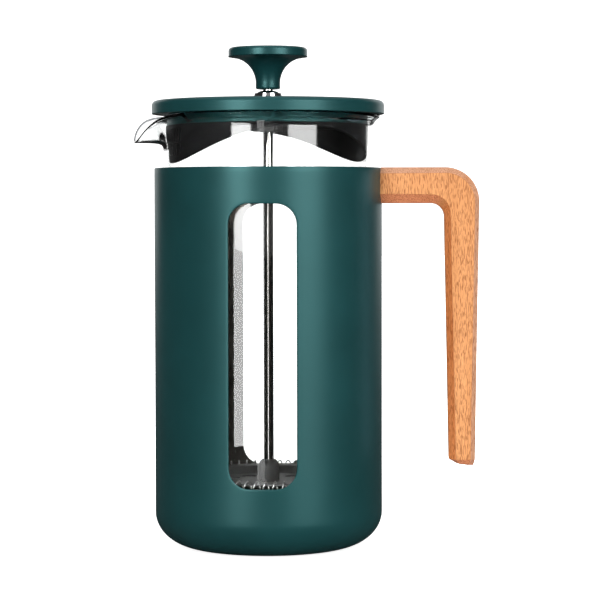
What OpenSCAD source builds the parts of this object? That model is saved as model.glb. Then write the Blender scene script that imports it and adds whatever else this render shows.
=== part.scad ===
// French press: a glass beaker in a windowed steel holder, with a turning lid and a plunger.
// Units are millimetres. Z is up, and the origin is where the beaker's axis meets the table.
// The handle points along +X and the two windows face -Y and +Y.

/* [Holder] */
// Outside radius of the steel sleeve
sleeve_r = 53.7; // [53:0.1:56]
// Height of the sleeve's rim above the table
sleeve_top = 179.4; // [176:0.1:184]
// Thickness of the sleeve's sheet steel
sheet = 0.9; // [0.7:0.1:1]
// Outside radius of the corner between the sleeve's wall and floor
corner_r = 19; // [17:1:20]
// Width of each window
window_w = 31; // [26:1:36]
// Height of the lower end of each window
window_low = 33.4; // [30:0.1:45]
// Height of the upper end of each window
window_high = 162.6; // [150:0.1:163]
// Radius of the windows' corners
window_corner_r = 9.5; // [6:0.5:12]

/* [Base] */
// Radius of the pad under the sleeve
pad_r = 31; // [30:0.5:32]
// Thickness of the pad under the sleeve
pad_t = 1.6; // [1.4:0.1:1.8]
// How far the pad stands out below the sleeve
pad_proud = 0.4; // [0.2:0.1:0.6]
// Inside radius of the ring that the beaker sits on
seat_in_r = 20; // [16:1:24]
// Outside radius of the ring that the beaker sits on
seat_out_r = 30; // [26:1:31]

/* [Handle] */
// Height of the arm that joins the grip to the sleeve
arm_h = 16.9; // [15:0.1:18]
// Distance from the beaker's axis to the outside of the grip, at its top
grip_out = 99.3; // [96:0.1:104]
// Distance that the outside of the grip leans in by, over its height
grip_lean = 1.9; // [0:0.1:3]
// Depth of the grip at its top
grip_top_d = 16.4; // [14:0.1:17]
// Depth of the grip at its foot
grip_foot_d = 12.2; // [11:0.1:14]
// Height of the grip's foot above the table
grip_foot = 39.3; // [36:0.1:60]
// Width of the handle from front to back
handle_t = 18; // [16:0.5:20]
// Radius of the bend on the outside of the handle
bend_out_r = 16; // [13:0.5:16]
// Radius of the bend on the inside of the handle
bend_in_r = 6.2; // [4:0.2:8]
// Width of the chamfer along the handle's edges
handle_chamfer = 2.4; // [1:0.2:3]
// Distance between the two handle screws
screw_pitch = 8; // [7.5:0.5:8.5]

/* [Beaker] */
// Outside radius of the beaker
glass_r = 49.7; // [49.5:0.1:49.8]
// Thickness of the glass
glass_wall = 1.9; // [1.8:0.1:1.9]
// Height of the beaker's underside above the table
glass_low = 5; // [4.8:0.1:5.4]
// Height where the wall starts to flare out to the rim
flare_z = 198.1; // [197:0.1:198.1]
// Distance from the axis to the tip of the spout
spout_reach = 63.6; // [63:0.1:66]
// Height of the underside of the spout
spout_low = 190.7; // [189:0.1:192]
// Angle that the beaker is turned by in its holder
beaker_turn = 16; // [-30:1:30]

/* [Lid] */
// Outside radius of the lid
lid_r = 54.8; // [54.6:0.1:56]
// Height of the lid's lower edge above the table
lid_low = 204.6; // [204.6:0.1:205.2]
// Height of the lid's shell
lid_h = 7.4; // [7:0.1:9]
// Radius of the lid's upper edge
lid_edge_r = 2.4; // [1.5:0.1:3]
// Outside radius of the skirt at its top
skirt_r = 47.3; // [47.2:0.05:47.4]
// Height of the skirt's lower edge at its two shallow sides
skirt_shallow = 198.2; // [196:0.1:198.4]
// Depth that the skirt reaches below that at the grille
skirt_wave = 16.8; // [14:0.1:17]
// Depth that the skirt reaches below that at the side opposite the grille
skirt_wave_back = 15.8; // [14:0.1:17]
// Angle that the lid is turned by from the handle's line
lid_turn = 20; // [-90:1:90]

/* [Plunger] */
// Radius of the plunger's rod
rod_r = 2.35; // [2:0.05:2.5]
// Height of the filter's lower plate above the table
filter_low = 29.4; // [28:0.1:32]
// Number of turns in the ring-shaped spring
spring_turns = 68; // [40:4:72]
// Outside radius of the spring's coil
coil_r = 2.8; // [2.4:0.1:2.8]
// Radius of the spring's wire
wire_r = 0.3; // [0.2:0.05:0.35]
// Radius of the knob
knob_r = 18.6; // [17:0.1:20]
// Height of the top of the knob above the table
knob_top = 236; // [234:0.5:240]

/* [Hidden] */
$fn = 72;
eps = 0.01;
fit_gap = 0.05;
big = 400;

// Holder
sleeve_low = pad_proud;
panel_top = pad_t + sheet;
arm_top = sleeve_top + 0.1;
arm_low = arm_top - arm_h;
grip_in = grip_out - grip_top_d;
foot_out = grip_out - grip_lean;
foot_in = foot_out - grip_foot_d;
foot_rise = 0.8;
foot_in_r = 3;
foot_out_r = 1.8;
bend_z = arm_top - bend_out_r;
root_x = sleeve_r - 10;
hole_start = sleeve_r - 5;
hole_end = sleeve_r + 5;
screw_heights = [for (s = [-1, 1]) arm_low + arm_h / 2 + s * screw_pitch / 2];
screw_r = 2;
screw_hole_r = 2.2;
screw_head_r = 3.4;
socket_r = 1.3;
socket_d = 1.1;
screw_head_x = glass_r + 0.65;
washer_x = sleeve_r - sheet - 0.7;
washer_t = 0.4;
washer_r = 3.7;
insert_r = 2.9;
insert_x = [sleeve_r + 0.9, sleeve_r + 11.9];

// Beaker
glass_in_r = glass_r - glass_wall;
glass_corner_r = 12;
glass_floor = 2.2;
flare_r = 5.2;
flare_end = 122;
bead_r = 1.15;
spout_root_r = 13;
spout_tip_r = 2.5;
spout_len = 20;
spout_lip = 1.2;
spout_edge_start = glass_r + 1.1;
spout_edge_top = lid_low - 0.2;

// Lid
lid_top = lid_low + lid_h;
lid_crown = 1.1;
lid_sheet = 0.8;
neck_r = 47;
neck_low = 199.9;
neck_in_r = neck_r - lid_sheet;
skirt_wall = 1.6;
skirt_taper = 0.7;
skirt_bow = 2.35;
skirt_low = skirt_shallow - max(skirt_wave, skirt_wave_back) - 1;
insert_top = lid_low - 0.2;
insert_floor = insert_top - 1.8;
boss_r = 7;
boss_low = insert_top - 4.8;
rib_low = insert_floor - 2.6;
ribs = 6;
rib_t = 1.4;
grille_rows = [[185.1, 5.2], [191.3, 6.6]];
grille_columns = 11;
grille_step = 3;
slot_w = 1.2;

// Rod guide
guide_r = 4;
guide_hole_r = guide_r + fit_gap;
guide_bore_r = rod_r + fit_gap;
dome_r = 6.95;
dome_low = lid_top + 0.1;
dome_h = 4.1;
dome_rise = 1.8;
nut_h = 3;
nut_flats = 12;
nut_top = boss_low - 0.1;
guide_low = nut_top - nut_h - 0.4;

// Plunger
rod_low = filter_low - 4.8;
knob_low = dome_low + dome_h + 0.2;
knob_disc_low = knob_top - 4.4;
knob_edge_r = 1.6;
knob_lower_edge_r = 0.6;
knob_neck_r = 5.8;
knob_neck_top = knob_low + 3;
knob_foot_r = 1;
knob_flare_r = knob_disc_low - knob_neck_top - 0.3;
knob_insert_r = 3.6;
knob_insert_z = [knob_low + 0.5, knob_low + 11.5];
rod_top = knob_insert_z[1] - 0.5;
cross_t = 0.9;
cross_r = 38;
cross_gap_r = [9, 32];
spoke_w = 7;
mesh_low = filter_low + cross_t;
mesh_t = 0.3;
mesh_r = 46.8;
plate_t = 0.7;
plate_low = mesh_low + mesh_t;
plate_rim_low = plate_low + 3.4;
plate_r = 44;
plate_dish_r = [31, 34.4];
spring_r = glass_in_r - coil_r - 0.3;
spring_z = plate_low + coil_r + 0.2;
turn_r = coil_r - wire_r;
rim_hole_r = 0.75;
rim_hole_at = spring_r - turn_r + 0.13;
flow_holes = 12;
flow_hole_r = 4;
flow_hole_at = 21;
hub_r = 5;
hub_low = plate_low + plate_t;
hub_top = hub_low + 10.3;
hub_nut_h = 3.8;
hub_nut_flats = 8;
hub_cap_r = 6.35;
hub_cap_sink = 0.45;
hub_side_h = 4;

green = "#1f4d4a";
steel = "#c4c6c8";
chrome = "#dcdee0";
black = "#1c1c1e";
brass = "#c9a24b";
wood = "#cf9164";
clear_glass = [0.85, 0.92, 0.93, 0.35];

// ---- Shared shapes ----

// Half section of a cup: wall radius r, corner radius c, from height z0 to z1
module cup_section(r, c, z0, z1) {
    translate([0, z0]) square([r - c, z1 - z0]);
    translate([0, z0 + c]) square([r, z1 - z0 - c]);
    translate([r - c, z0 + c]) circle(c);
}

// Upright rectangle with round corners, centred on x = 0
module round_window(w, z0, z1, r) {
    translate([-w / 2 + r, z0]) square([w - 2 * r, z1 - z0]);
    translate([-w / 2, z0 + r]) square([w, z1 - z0 - 2 * r]);
    for (side = [-1, 1], z = [z0 + r, z1 - r])
        translate([side * (w / 2 - r), z]) circle(r);
}

// Plain ring or washer standing on height z
module ring(r_out, r_in, z, h) {
    translate([0, 0, z]) difference() {
        cylinder(r = r_out, h = h);
        translate([0, 0, -1]) cylinder(r = r_in, h = h + 2);
    }
}

// Hexagonal nut standing on height z
module hex_nut(across_flats, r_in, z, h) {
    translate([0, 0, z]) difference() {
        cylinder(r = across_flats / sqrt(3), h = h, $fn = 6);
        translate([0, 0, -1]) cylinder(r = r_in, h = h + 2);
    }
}

// Puts its children, drawn along +Z, along +X at each handle screw
module at_screws(x) {
    for (z = screw_heights)
        translate([x, 0, z]) rotate([0, 90, 0]) children();
}

// Draws a flat outline in the XZ plane with thickness t along Y
module upright(t) {
    rotate([90, 0, 0]) linear_extrude(height = t, center = true) children();
}

// ---- Holder ----

module holder_sleeve() {
    color(green) difference() {
        rotate_extrude() difference() {
            union() {
                difference() {
                    cup_section(sleeve_r, corner_r, sleeve_low, sleeve_top);
                    cup_section(sleeve_r - sheet, corner_r - sheet, sleeve_low + sheet, sleeve_top + 30);
                }
                square([pad_r + sheet, panel_top]);
            }
            translate([0, -1]) square([pad_r, pad_t + 1]);
            translate([0, -1]) square([sleeve_r, 1 + sleeve_low]);
        }
        upright(big) round_window(window_w, window_low, window_high, window_corner_r);
        at_screws(hole_start) cylinder(r = screw_hole_r, h = hole_end - hole_start);
    }
}

module base_pad() {
    color(black) cylinder(r = pad_r, h = pad_t);
}

module beaker_seat() {
    color(black) ring(seat_out_r, seat_in_r, panel_top, glass_low - panel_top);
}

// What a round of radius r takes off a corner at the origin, with its sides along -X and -Y
module corner_waste(r) {
    difference() {
        translate([-r, -r]) square(r + 1);
        translate([-r, -r]) circle(r);
    }
}

// Side view of the handle: an arm, a bend and a grip that tapers to its foot
module handle_outline() {
    difference() {
        polygon([
            [root_x, arm_low], [root_x, arm_top], [grip_out, arm_top], [grip_out, bend_z],
            [foot_out, grip_foot], [foot_in, grip_foot + foot_rise], [grip_in, arm_low - bend_in_r], [grip_in, arm_low]
        ]);
        translate([grip_out, arm_top]) corner_waste(bend_out_r);
        translate([foot_out, grip_foot]) rotate(-90) corner_waste(foot_out_r);
        translate([foot_in, grip_foot + foot_rise]) rotate(180) corner_waste(foot_in_r);
    }
}

// Square bar with its corner turned to the edge, from point a to just past point b in the XZ plane
module edge_bar(a, b) {
    run = b - a;
    side = handle_chamfer * sqrt(2);
    translate([a[0], handle_t / 2, a[1]])
        rotate([0, atan2(run[0], run[1]), 0])
        rotate([0, 0, 45])
        translate([-side / 2, -side / 2, 0]) cube([side, side, norm(run) + 0.05]);
}

// Chamfer round the outside of a quarter bend of radius r
module outer_bend_chamfer(centre, r) {
    c = handle_chamfer;
    translate([centre[0], 0, centre[1]]) intersection() {
        rotate([-90, 0, 0]) rotate_extrude() polygon([
            [r - c, handle_t / 2], [r + 1, handle_t / 2 + eps], [r + 1, handle_t / 2 - c - 1]
        ]);
        cube([r + c + 2, handle_t, r + c + 2]);
    }
}

// Chamfer round the inside of a quarter bend of radius r
module inner_bend_chamfer(centre, r) {
    c = handle_chamfer;
    translate([centre[0], 0, centre[1]]) intersection() {
        translate([0, handle_t / 2 - c - 1, 0]) rotate([-90, 0, 0])
            cylinder(r1 = r - 1, r2 = r + c + 1, h = c + 2);
        cube([r + c + 2, handle_t, r + c + 2]);
    }
}

module handle() {
    inner_bend = [grip_in - bend_in_r, arm_low - bend_in_r];
    outer_bend = [grip_out - bend_out_r, bend_z];
    color(wood) difference() {
        union() {
            upright(handle_t) handle_outline();
            upright(handle_t) translate([grip_in, arm_low]) corner_waste(bend_in_r);
        }
        for (half = [0, 1]) mirror([0, half, 0]) {
            edge_bar([root_x, arm_top], [outer_bend[0], arm_top]);
            edge_bar([root_x, arm_low], [inner_bend[0], arm_low]);
            edge_bar([foot_out, grip_foot - 1], [grip_out, bend_z]);
            edge_bar([foot_in, grip_foot - 1], [grip_in, inner_bend[1]]);
            outer_bend_chamfer(outer_bend, bend_out_r);
            inner_bend_chamfer(inner_bend, bend_in_r);
        }
        cylinder(r = sleeve_r, h = big);
        at_screws(hole_start) cylinder(r = insert_r, h = insert_x[1] - hole_start);
    }
}

module handle_screws() {
    color(steel) at_screws(screw_head_x) difference() {
        union() {
            cylinder(r = screw_head_r, h = washer_x - screw_head_x);
            cylinder(r = screw_r, h = insert_x[1] - 1 - screw_head_x);
        }
        translate([0, 0, -1]) cylinder(r = socket_r, h = 1 + socket_d, $fn = 6);
    }
}

module screw_washers() {
    color(steel) at_screws(washer_x) ring(washer_r, screw_hole_r, 0, washer_t);
}

module threaded_inserts() {
    color(brass) at_screws(insert_x[0]) ring(insert_r, screw_r, 0, insert_x[1] - insert_x[0]);
}

// ---- Beaker ----

// Half section of the flare between the wall and the rim, with the bead at its end
module flare_section() {
    mid = flare_r + glass_wall / 2;
    reach = 2 * flare_r + glass_wall;
    translate([glass_r + flare_r, flare_z]) {
        intersection() {
            difference() {
                circle(flare_r + glass_wall);
                circle(flare_r);
            }
            polygon([
                [0, 0], [-reach, 0], [-reach, reach * sin(flare_end)],
                [reach * cos(flare_end), reach * sin(flare_end)]
            ]);
        }
        translate([mid * cos(flare_end), mid * sin(flare_end)]) circle(bead_r);
    }
}

// Cone along the spout, its lowest line level: trim is taken off its radius
module spout_cone(trim) {
    drop = spout_root_r - spout_tip_r;
    tilt = atan2(drop, spout_len);
    start = -spout_reach + norm([spout_len, drop]);
    translate([start - spout_root_r * sin(tilt), 0, spout_low + spout_root_r * cos(tilt)])
        rotate([0, -90 - tilt, 0])
        cylinder(r1 = spout_root_r - trim, r2 = spout_tip_r - trim, h = spout_len);
}

// Everything under the slope from the rim down to the tip of the spout
module under_spout_edge() {
    upright(60) polygon([
        [-glass_in_r + 2, spout_low - 5], [-glass_in_r + 2, spout_edge_top], [-spout_edge_start, spout_edge_top],
        [-spout_reach - 0.2, spout_low + spout_lip], [-spout_reach - 0.2, spout_low - 5]
    ]);
}

module glass_beaker() {
    color(clear_glass) rotate([0, 0, beaker_turn]) difference() {
        union() {
            rotate_extrude() {
                difference() {
                    cup_section(glass_r, glass_corner_r, glass_low, flare_z);
                    cup_section(glass_in_r, glass_corner_r - glass_wall, glass_low + glass_floor, flare_z + 40);
                }
                flare_section();
            }
            intersection() {
                spout_cone(0);
                under_spout_edge();
            }
        }
        spout_cone(glass_wall);
        translate([0, 0, spout_low - 8]) cylinder(r = glass_in_r, h = 40);
    }
}

// ---- Rod guide ----

module rod_guide() {
    cap_r = (dome_r * dome_r + dome_rise * dome_rise) / (2 * dome_rise);
    color(chrome) difference() {
        union() {
            rotate_extrude() intersection() {
                translate([0, dome_low]) square([dome_r, dome_h]);
                translate([0, dome_low + dome_h - cap_r]) circle(cap_r);
            }
            translate([0, 0, guide_low]) cylinder(r = guide_r, h = dome_low + 1 - guide_low);
        }
        translate([0, 0, guide_low - 1]) cylinder(r = guide_bore_r, h = 40);
    }
}

module guide_nut() {
    color(steel) hex_nut(nut_flats, guide_r, nut_top - nut_h, nut_h);
}

// ---- Lid ----

// Half section of the lid's outside, drawn smaller by inset
module lid_section(inset) {
    edge_mid = [lid_r - lid_edge_r, lid_top - lid_crown - lid_edge_r];
    polygon([
        [0, lid_low - 5 * inset], [lid_r - inset, lid_low - 5 * inset], [lid_r - inset, edge_mid[1]],
        [edge_mid[0], lid_top - lid_crown - inset], [8, lid_top - inset], [0, lid_top - inset]
    ]);
    translate(edge_mid) circle(lid_edge_r - inset);
}

module lid_cap() {
    color(green) difference() {
        rotate_extrude() difference() {
            lid_section(0);
            lid_section(lid_sheet);
        }
        translate([0, 0, lid_low]) cylinder(r = guide_hole_r, h = 20);
    }
}

module lid_neck() {
    color(green) {
        ring(lid_r - lid_sheet - fit_gap, neck_in_r, lid_low, lid_sheet);
        ring(neck_r, neck_in_r, neck_low, lid_low - neck_low + lid_sheet);
    }
}

// Height of the skirt's waved edge, from -1 at the grille to 1 at the side opposite it
function skirt_edge(share) =
    skirt_shallow - (share < 0 ? skirt_wave : skirt_wave_back) * pow(abs(share), skirt_bow);

// Space below the skirt's waved edge
module skirt_wave_cut() {
    steps = 16;
    foot_r = skirt_r - skirt_taper;
    upright(big) polygon(concat(
        [[-skirt_r - 1, skirt_low - 5], [-skirt_r - 1, skirt_edge(-1)]],
        [for (i = [-steps : steps]) [i / steps * foot_r, skirt_edge(i / steps)]],
        [[skirt_r + 1, skirt_edge(1)], [skirt_r + 1, skirt_low - 5]]
    ));
}

module grille_slots() {
    for (row = grille_rows, i = [0 : grille_columns - 1])
        rotate([0, 0, (i - (grille_columns - 1) / 2) * grille_step])
        translate([-skirt_r - 2, -slot_w / 2, row[0]]) cube([6, slot_w, row[1]]);
}

module lid_insert() {
    color(black) rotate([0, 0, lid_turn]) difference() {
        union() {
            rotate_extrude() {
                polygon([
                    [skirt_r - skirt_taper - skirt_wall, skirt_low], [skirt_r - skirt_taper, skirt_low],
                    [skirt_r, neck_low], [skirt_r - skirt_wall, neck_low]
                ]);
                translate([neck_in_r - skirt_wall, neck_low - 1.5])
                    square([skirt_wall, insert_top - neck_low + 1.5]);
                translate([0, insert_floor]) square([neck_in_r - eps, insert_top - insert_floor]);
                translate([0, boss_low]) square([boss_r, insert_top - boss_low]);
            }
            for (i = [0 : ribs - 1]) rotate([0, 0, i * 360 / ribs])
                translate([boss_r - 1, -rib_t / 2, rib_low])
                cube([neck_in_r - boss_r, rib_t, insert_floor - rib_low + 0.5]);
        }
        skirt_wave_cut();
        grille_slots();
        translate([0, 0, boss_low - 1]) cylinder(r = guide_hole_r, h = 20);
    }
}

// ---- Plunger ----

module plunger_rod() {
    color(steel) translate([0, 0, rod_low]) cylinder(r = rod_r, h = rod_top - rod_low);
}

module knob() {
    flare_x = knob_neck_r + knob_flare_r;
    color(green) difference() {
        rotate_extrude() {
            translate([0, knob_disc_low]) square([knob_r - knob_edge_r, knob_top - knob_disc_low]);
            translate([0, knob_disc_low + knob_lower_edge_r])
                square([knob_r, knob_top - knob_disc_low - knob_lower_edge_r - knob_edge_r]);
            translate([knob_r - knob_edge_r, knob_top - knob_edge_r]) circle(knob_edge_r);
            translate([knob_r - knob_lower_edge_r, knob_disc_low + knob_lower_edge_r]) circle(knob_lower_edge_r);
            difference() {
                translate([0, knob_neck_top]) square([flare_x, knob_disc_low - knob_neck_top + 1]);
                translate([flare_x, knob_neck_top]) circle(knob_flare_r);
            }
            translate([0, knob_low + knob_foot_r]) square([knob_neck_r, knob_neck_top - knob_low]);
            translate([0, knob_low]) square([knob_neck_r - knob_foot_r, 2 * knob_foot_r]);
            translate([knob_neck_r - knob_foot_r, knob_low + knob_foot_r]) circle(knob_foot_r);
        }
        translate([0, 0, knob_low - 1]) cylinder(r = knob_insert_r, h = knob_insert_z[1] - knob_low + 1);
    }
}

module knob_insert() {
    color(brass) difference() {
        translate([0, 0, knob_insert_z[0]])
            cylinder(r = knob_insert_r, h = knob_insert_z[1] - knob_insert_z[0]);
        translate([0, 0, knob_low]) cylinder(r = rod_r, h = rod_top - knob_low);
    }
}

module hub_dome() {
    color(steel) difference() {
        rotate_extrude() intersection() {
            translate([0, hub_low]) square([hub_r, hub_top - hub_low]);
            union() {
                translate([0, hub_top - hub_cap_r + hub_cap_sink]) circle(hub_cap_r);
                translate([0, hub_low]) square([hub_r, hub_side_h]);
            }
        }
        translate([0, 0, hub_low - 1]) cylinder(r = rod_r, h = 20);
    }
}

module spiral_plate() {
    color(steel) difference() {
        rotate_extrude() polygon([
            [rod_r, plate_low], [plate_dish_r[0], plate_low], [plate_dish_r[1], plate_rim_low],
            [plate_r, plate_rim_low], [plate_r, plate_rim_low + plate_t],
            [plate_dish_r[1] - 0.3, plate_rim_low + plate_t], [plate_dish_r[0] - 0.3, plate_low + plate_t],
            [rod_r, plate_low + plate_t]
        ]);
        for (i = [0 : spring_turns - 1]) rotate([0, 0, i * 360 / spring_turns])
            translate([rim_hole_at, 0, plate_low]) cylinder(r = rim_hole_r, h = 10, $fn = 16);
        for (i = [0 : flow_holes - 1]) rotate([0, 0, i * 360 / flow_holes])
            translate([flow_hole_at, 0, plate_low - 1]) cylinder(r = flow_hole_r, h = 4);
    }
}

module spiral_spring() {
    color(steel) for (i = [0 : spring_turns - 1])
        rotate([0, 0, i * 360 / spring_turns])
        translate([spring_r, 0, spring_z])
        rotate([90, 0, 0])
        rotate_extrude($fn = 16) translate([turn_r, 0]) circle(wire_r, $fn = 16);
}

module filter_mesh() {
    color(chrome) ring(mesh_r, rod_r, mesh_low, mesh_t);
}

module cross_plate() {
    color(steel) difference() {
        ring(cross_r, rod_r, filter_low, cross_t);
        difference() {
            ring(cross_gap_r[1], cross_gap_r[0], filter_low - 1, cross_t + 2);
            for (a = [0, 90]) rotate([0, 0, a])
                translate([-cross_r, -spoke_w / 2, filter_low - 2]) cube([2 * cross_r, spoke_w, cross_t + 4]);
        }
    }
}

module hub_nut() {
    color(steel) hex_nut(hub_nut_flats, rod_r, filter_low - hub_nut_h, hub_nut_h);
}

holder_sleeve();
base_pad();
beaker_seat();
handle();
handle_screws();
screw_washers();
threaded_inserts();
glass_beaker();
rod_guide();
guide_nut();
lid_cap();
lid_neck();
lid_insert();
plunger_rod();
knob();
knob_insert();
hub_dome();
spiral_plate();
spiral_spring();
filter_mesh();
cross_plate();
hub_nut();
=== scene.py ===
"""French press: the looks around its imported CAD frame. Sizes are in millimetres until a mesh is made."""

import math

import bmesh
import bpy
import numpy as np
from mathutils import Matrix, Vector


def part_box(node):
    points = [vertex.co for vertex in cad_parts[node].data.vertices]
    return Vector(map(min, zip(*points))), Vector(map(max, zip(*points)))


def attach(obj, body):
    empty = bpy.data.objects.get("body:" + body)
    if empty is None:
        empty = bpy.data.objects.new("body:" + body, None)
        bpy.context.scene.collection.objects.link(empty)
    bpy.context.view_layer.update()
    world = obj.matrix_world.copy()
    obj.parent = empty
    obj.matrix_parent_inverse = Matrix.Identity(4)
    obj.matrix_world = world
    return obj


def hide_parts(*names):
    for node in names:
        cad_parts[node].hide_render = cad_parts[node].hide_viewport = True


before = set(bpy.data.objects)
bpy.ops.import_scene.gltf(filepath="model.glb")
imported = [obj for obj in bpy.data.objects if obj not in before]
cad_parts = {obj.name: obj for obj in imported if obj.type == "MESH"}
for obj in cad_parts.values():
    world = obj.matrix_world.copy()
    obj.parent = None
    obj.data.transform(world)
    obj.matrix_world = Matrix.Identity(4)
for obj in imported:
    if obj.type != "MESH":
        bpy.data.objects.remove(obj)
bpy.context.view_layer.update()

MM = 0.001


def span(node):
    """Lowest and highest corner of a CAD node, in millimetres."""
    low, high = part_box(node)
    return low / MM, high / MM


# ---- Sizes ----

sleeve_box = span("holder_sleeve")
SLEEVE_R = sleeve_box[1].x
SLEEVE_LOW, SLEEVE_TOP = sleeve_box[0].z, sleeve_box[1].z
SHEET = 0.9
CORNER_W, CORNER_H = 20.8, 16.7
PAD_R = span("base_pad")[1].x
PAD_TOP = span("base_pad")[1].z
WINDOW_W, WINDOW_LOW, WINDOW_HIGH, WINDOW_R = 31.0, 33.4, 162.6, 9.5
WINDOW_EDGE_R = 0.3

handle_box = span("handle")
HANDLE_HALF = handle_box[1].y
ARM_H, GRIP_DEPTH = 16.9, 16.4
ARM_TOP, ARM_LOW = handle_box[1].z, handle_box[1].z - ARM_H
GRIP_OUT, GRIP_IN = handle_box[1].x, handle_box[1].x - GRIP_DEPTH
FOOT_OUT, FOOT_IN = 97.4, 85.2
GRIP_FOOT = handle_box[0].z
BEND_OUT_R, BEND_IN_R = 16.0, 6.2
HANDLE_EDGE_R = 0.45
# Inner and outer chamfers, first how far they reach in from the inner or outer face, then how far in from the side,
# each as a length on the arm and one on the grip
CHAMFER_CUTS, CHAMFER_DROPS = ((4.4, 3.2), (2.9, 2.2)), ((3.4, 2.8), (2.6, 2.3))
FOOT_H, FOOT_SLOPE = 3.0, math.tan(math.radians(3.5))
# The foot's rings, each as how far it is drawn in and how far it is dropped
FOOT_RINGS = ((0.25, 0.35), (0.9, 1.1), (1.5, 1.9), (2.1, 2.6), (2.7, 2.95), (3.6, 3.0))

glass_box = span("glass_beaker")
GLASS_LOW = glass_box[0].z
GLASS_R, GLASS_WALL, GLASS_FLOOR, GLASS_CORNER = 49.7, 1.9, 2.2, 12.0
FLARE_Z, FLARE_R, FLARE_END = 198.1, 5.2, 122.0
BEAD_R = 0.95
SPOUT_ANGLE, SPOUT_REACH, SPOUT_LOW = 196.0, 63.6, 190.7
SPOUT_BEAD_R, SPOUT_WALL = 0.5, 0.9
# Half angles of the spout's reach and of its droop, and how far below its lip it leaves the wall
SPOUT_HALF, DROOP_HALF, SPOUT_DEPTH = 36.0, 15.27, 3.3
# The beaker has close columns up to this angle on both sides of the spout, and nothing droops beyond it
SPOUT_SIDE = 45
# Turns from the spout between which the lip's skin lies, and from which the rim's lies, with its rows past the bead
LIP_FROM, LIP_TO, RIM_FROM, CURL_ROWS = -40.0, 5.0, 30.0, 8

lid_box = span("lid_cap")
LID_R, LID_LOW, LID_TOP = lid_box[1].x, lid_box[0].z, lid_box[1].z
LID_SHEET, LID_CROWN, LID_EDGE_R = 0.8, 1.1, 2.4
NECK_R, NECK_LOW = 47.0, span("lid_neck")[0].z
GUIDE_R = 4.0
insert_box = span("lid_insert")
SKIRT_TOP_R, SKIRT_FOOT_R, SKIRT_WALL = 47.3, 46.6, 1.6
SKIRT_LOW, SKIRT_BACK_LOW, SKIRT_SHALLOW, SKIRT_BOW = insert_box[0].z, 182.4, 198.2, 2.35
INSERT_TOP = insert_box[1].z
INSERT_FLOOR, BOSS_LOW = INSERT_TOP - 1.8, INSERT_TOP - 4.8
RIB_LOW = INSERT_FLOOR - 2.6
GRILLE_LOW = (185.1, 191.3)
GRILLE_HEIGHT = (5.2, 6.6)
GRILLE_COLUMNS, GRILLE_STEP, SLOT_W = 11, 3.0, 1.2
LID_TURN = 20.0

knob_box = span("knob")
KNOB_R, KNOB_LOW, KNOB_TOP = knob_box[1].x, knob_box[0].z, knob_box[1].z
KNOB_DISC_H, KNOB_NECK_R, KNOB_NECK_H = 4.4, 5.8, 3
guide_box = span("rod_guide")
DOME_R, DOME_TOP = guide_box[1].x, guide_box[1].z
rod_box = span("plunger_rod")
ROD_R = rod_box[1].x
hub_box = span("hub_dome")
HUB_R, HUB_LOW, HUB_TOP = hub_box[1].x, hub_box[0].z, hub_box[1].z
SPRING_R, SPRING_Z, COIL_R, WIRE_R, SPRING_TURNS = 44.7, 33.6, 2.5, 0.3, 68
RINGS_PER_TURN, WIRE_SIDES = 28, 8


# ---- Mesh helpers ----


def arc(centre, radius, start, end, steps):
    """Points along an arc from start to end degrees."""
    turn = np.radians(np.linspace(start, end, steps + 1))
    return [(centre[0] + radius * math.cos(a), centre[1] + radius * math.sin(a)) for a in turn]


def rounded(corners, closed=True, steps=5):
    """Outline through (x, y, fillet) corners, with steps + 1 points round each corner that has a fillet."""
    out = []
    for i, (x, y, fillet) in enumerate(corners):
        here = Vector((x, y))
        if not fillet:
            out.append((x, y))
            continue
        back = Vector(corners[i - 1][:2]) - here
        ahead = Vector(corners[(i + 1) % len(corners)][:2]) - here
        half = back.angle(ahead) / 2
        cut = min(fillet / math.tan(half), 0.49 * back.length, 0.49 * ahead.length)
        radius = cut * math.tan(half)
        middle = (back.normalized() + ahead.normalized()).normalized()
        centre = here + middle * radius / math.sin(half)
        start, end = here + back.normalized() * cut - centre, here + ahead.normalized() * cut - centre
        a0 = math.atan2(start.y, start.x)
        swing = (math.atan2(end.y, end.x) - a0 + math.pi) % (2 * math.pi) - math.pi
        for k in range(steps + 1):
            a = a0 + swing * k / steps
            out.append((centre.x + radius * math.cos(a), centre.y + radius * math.sin(a)))
    return out


def piece(name, body, points, faces, looks, stands_for=(), sharp=35, face_looks=None):
    """A mesh piece from points in millimetres, riding on a CAD body and standing for some CAD nodes."""
    mesh = bpy.data.meshes.new(name)
    mesh.from_pydata((np.asarray(points, float) * MM).tolist(), [], [list(map(int, f)) for f in faces])
    for look in looks:
        mesh.materials.append(look)
    if face_looks is not None:
        mesh.polygons.foreach_set("material_index", np.asarray(face_looks, np.int32))
    bm = bmesh.new()
    bm.from_mesh(mesh)
    bmesh.ops.remove_doubles(bm, verts=bm.verts, dist=2e-6)
    bmesh.ops.dissolve_degenerate(bm, edges=bm.edges, dist=1e-7)
    bmesh.ops.recalc_face_normals(bm, faces=bm.faces)
    for face in bm.faces:
        face.smooth = True
    bm.to_mesh(mesh)
    bm.free()
    mesh.set_sharp_from_angle(angle=math.radians(sharp))
    obj = bpy.data.objects.new(name, mesh)
    bpy.context.scene.collection.objects.link(obj)
    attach(obj, body)
    if stands_for:
        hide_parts(*stands_for)
    return obj


def weigh_normals(obj):
    """Keeps wide faces flat and lets the narrow rounds between them take the turn."""
    weighted = obj.modifiers.new("weighted", "WEIGHTED_NORMAL")
    weighted.keep_sharp = True
    weighted.weight = 80


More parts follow.
